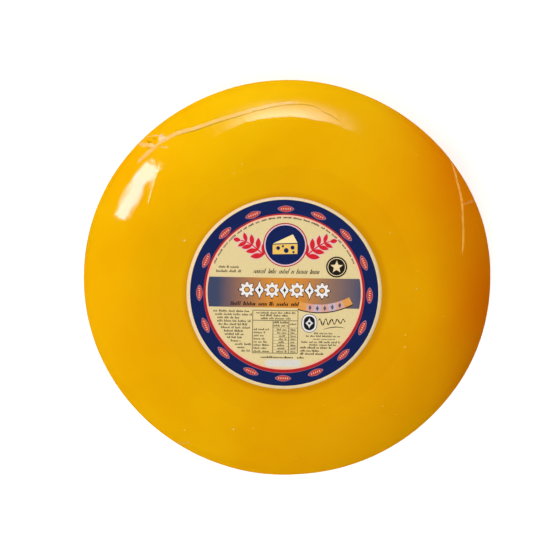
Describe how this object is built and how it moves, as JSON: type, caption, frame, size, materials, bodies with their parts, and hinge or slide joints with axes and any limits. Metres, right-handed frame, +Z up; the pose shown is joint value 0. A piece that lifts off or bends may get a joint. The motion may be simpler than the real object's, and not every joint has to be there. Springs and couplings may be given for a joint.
{
  "type": "fontina cheese wheel",
  "caption": "Whole round of golden cheese with a fully rounded rim and nearly flat faces, in clear shrink film over a round printed paper label.",
  "frame": {"origin": "centre of the flat underside of the wrapped wheel", "axes": "+Z up, out of the labelled face; +Y towards the top of the label; +X to the right of the label"},
  "size_m": [0.25, 0.2448, 0.094],
  "materials": {
    "cheese": "smooth waxy golden cheese skin",
    "label_paper": "printed coated paper",
    "film": "clear shrink film, glossy, tight"
  },
  "bodies": {
    "root": {"cheese_wheel": "cheese", "label": "label_paper", "film": "film"}
  },
  "joints": []
}
